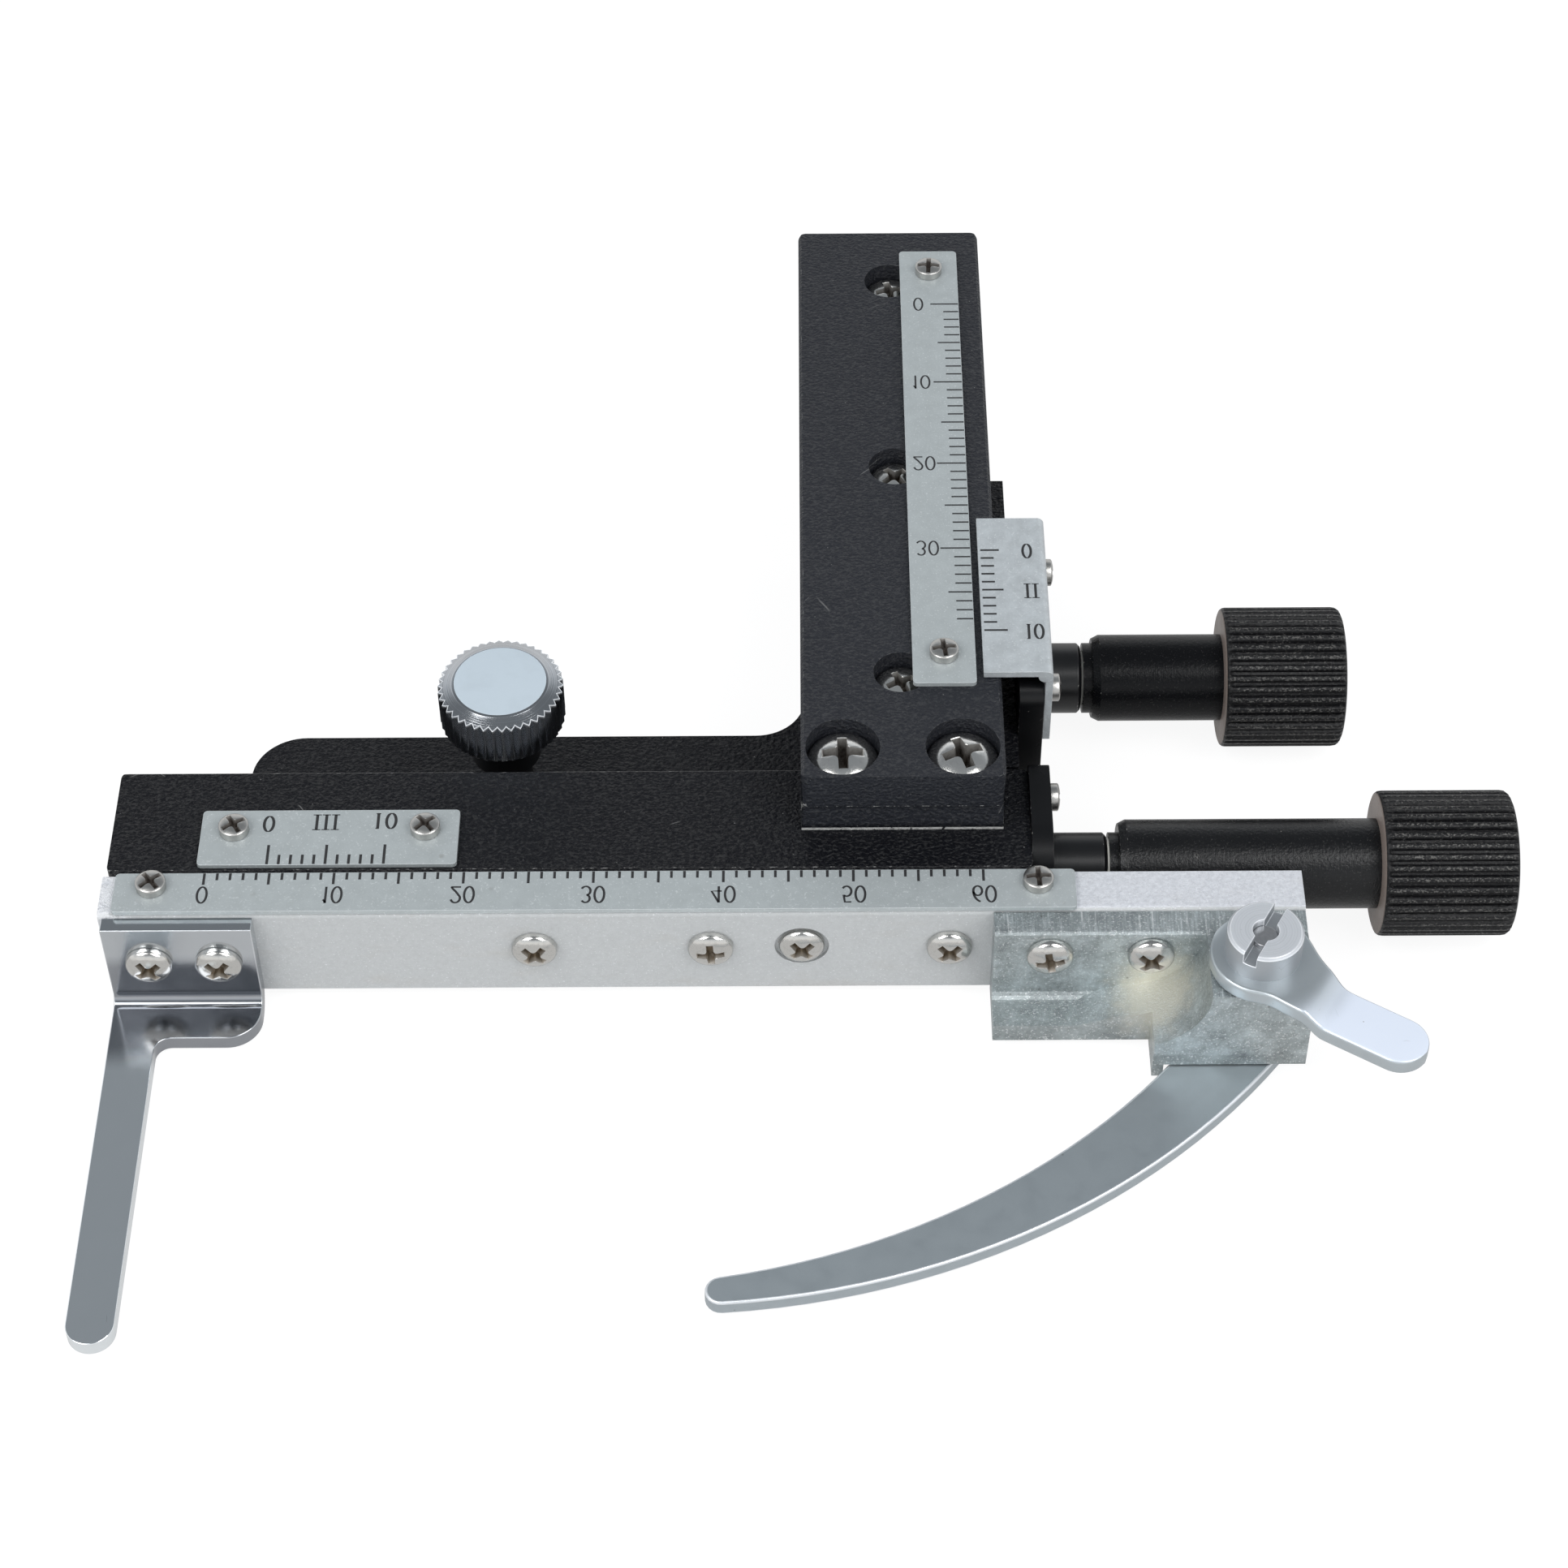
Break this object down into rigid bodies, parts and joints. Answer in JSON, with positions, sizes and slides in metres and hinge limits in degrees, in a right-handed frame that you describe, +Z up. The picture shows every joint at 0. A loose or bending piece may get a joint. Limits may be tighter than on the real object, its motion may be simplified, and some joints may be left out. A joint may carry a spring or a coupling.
{
  "type": "mechanical microscope stage",
  "caption": "Attachable mechanical stage for a microscope: rack-driven cross slides with vernier scales, a clamp screw, and fixed and sprung fingers that hold a slide.",
  "frame": {"origin": "axis of the clamp screw on the underside of the base, where it meets the microscope stage", "axes": "+X along the slide bar towards the knobs, +Y away from the user along the Y bar, +Z up out of the microscope stage"},
  "size_m": [0.1102, 0.1059, 0.0177],
  "materials": {
    "black_texture_paint": "fine textured black paint over die-cast metal",
    "black_gloss_plate": "smooth black anodised plate",
    "engraved_aluminium": "matt silver plate with black filled engraving",
    "bare_aluminium": "fine milled, bright rounded edge",
    "bright_chrome": "polished plating",
    "zinc_plate": "blotched zinc plating with faint yellow",
    "grey_steel": "satin grey plating",
    "nickel_screw": "bright nickel",
    "blackened_steel": "oil blackened steel",
    "shaft_steel": "ground steel",
    "brass": "machined brass",
    "black_bush": "smooth black",
    "knob_black": "ribbed matt black",
    "sleeve_black": "pebbled satin black",
    "washer_nylon": "natural nylon"
  },
  "bodies": {
    "base": {"base_plate": "black_texture_paint", "y_bearing_plate": "black_gloss_plate", "y_plate_screws": "blackened_steel", "y_bush": "black_bush", "y_vernier_bracket": "engraved_aluminium", "y_vernier_screws": "nickel_screw"},
    "y_carriage": {"y_bar": "black_texture_paint", "y_scale_plate": "engraved_aluminium", "y_scale_screws": "nickel_screw", "y_slide_strip": "brass", "y_slide_screws": "nickel_screw", "y_rack": "brass", "x_body": "black_texture_paint", "x_body_bolts": "nickel_screw", "x_vernier_plate": "engraved_aluminium", "x_vernier_screws": "nickel_screw", "x_bearing_plate": "black_gloss_plate", "x_bearing_screws": "nickel_screw", "x_bush": "black_bush"},
    "x_slide": {"x_bar": "bare_aluminium", "x_scale_plate": "engraved_aluminium", "x_scale_screws": "nickel_screw", "x_slide_rack": "brass", "x_rack_screws": "nickel_screw", "fixed_finger": "bright_chrome", "fixed_finger_screws": "nickel_screw", "finger_bracket": "zinc_plate", "finger_bracket_screws": "nickel_screw", "torsion_spring": "shaft_steel"},
    "y_drive": {"y_pinion_shaft": "shaft_steel", "y_knob_sleeve": "sleeve_black", "y_knob": "knob_black", "y_grub_screw": "blackened_steel", "y_thrust_washer": "washer_nylon"},
    "x_drive": {"x_worm_shaft": "shaft_steel", "x_knob_sleeve": "sleeve_black", "x_knob": "knob_black", "x_grub_screw": "blackened_steel", "x_thrust_washer": "washer_nylon"},
    "finger": {"curved_finger": "grey_steel", "pivot_post": "shaft_steel", "release_lever": "bright_chrome", "lever_nut": "bright_chrome"},
    "clamp_screw": {"clamp_stud": "blackened_steel"},
    "clamp_knob": {"clamp_head": "bright_chrome"}
  },
  "joints": [
    {"name": "y_travel", "type": "slide", "parent": "base", "child": "y_carriage", "axis": [0, 1, 0], "range_m": [-0.03, 0]},
    {"name": "y_knob_turn", "type": "hinge", "parent": "base", "child": "y_drive", "pos_m": [0.05, 0.00807, 0.0063], "axis": [1, 0, 0], "range_deg": [-2, 575]},
    {"name": "x_travel", "type": "slide", "parent": "y_carriage", "child": "x_slide", "axis": [1, 0, 0], "range_m": [-0.0553, 0.0047]},
    {"name": "x_knob_turn", "type": "hinge", "parent": "y_carriage", "child": "x_drive", "pos_m": [0.05, -0.01213, 0.0063], "axis": [1, 0, 0], "range_deg": [-1511, 131]},
    {"name": "finger_pivot", "type": "hinge", "parent": "x_slide", "child": "finger", "pos_m": [0.05845, -0.0255, 0.001], "axis": [0, 0, 1], "range_deg": [0, 45], "stiffness_Nm_per_rad": 0.05, "springref_deg": -28.65},
    {"name": "clamp_feed", "type": "slide", "parent": "base", "child": "clamp_screw", "axis": [0, 0, 1], "range_m": [-0.0028, 0]},
    {"name": "clamp_turn", "type": "hinge", "parent": "clamp_screw", "child": "clamp_knob", "pos_m": [0, 0, 0.0125], "axis": [0, 0, 1], "range_deg": [-1446, 6]}
  ],
  "couplings": [
    {"joint": "y_knob_turn", "follows": "y_travel", "rad_per_m": -333.33},
    {"joint": "x_knob_turn", "follows": "x_travel", "rad_per_m": 476.19},
    {"joint": "clamp_turn", "follows": "clamp_feed", "rad_per_m": 8976}
  ]
}
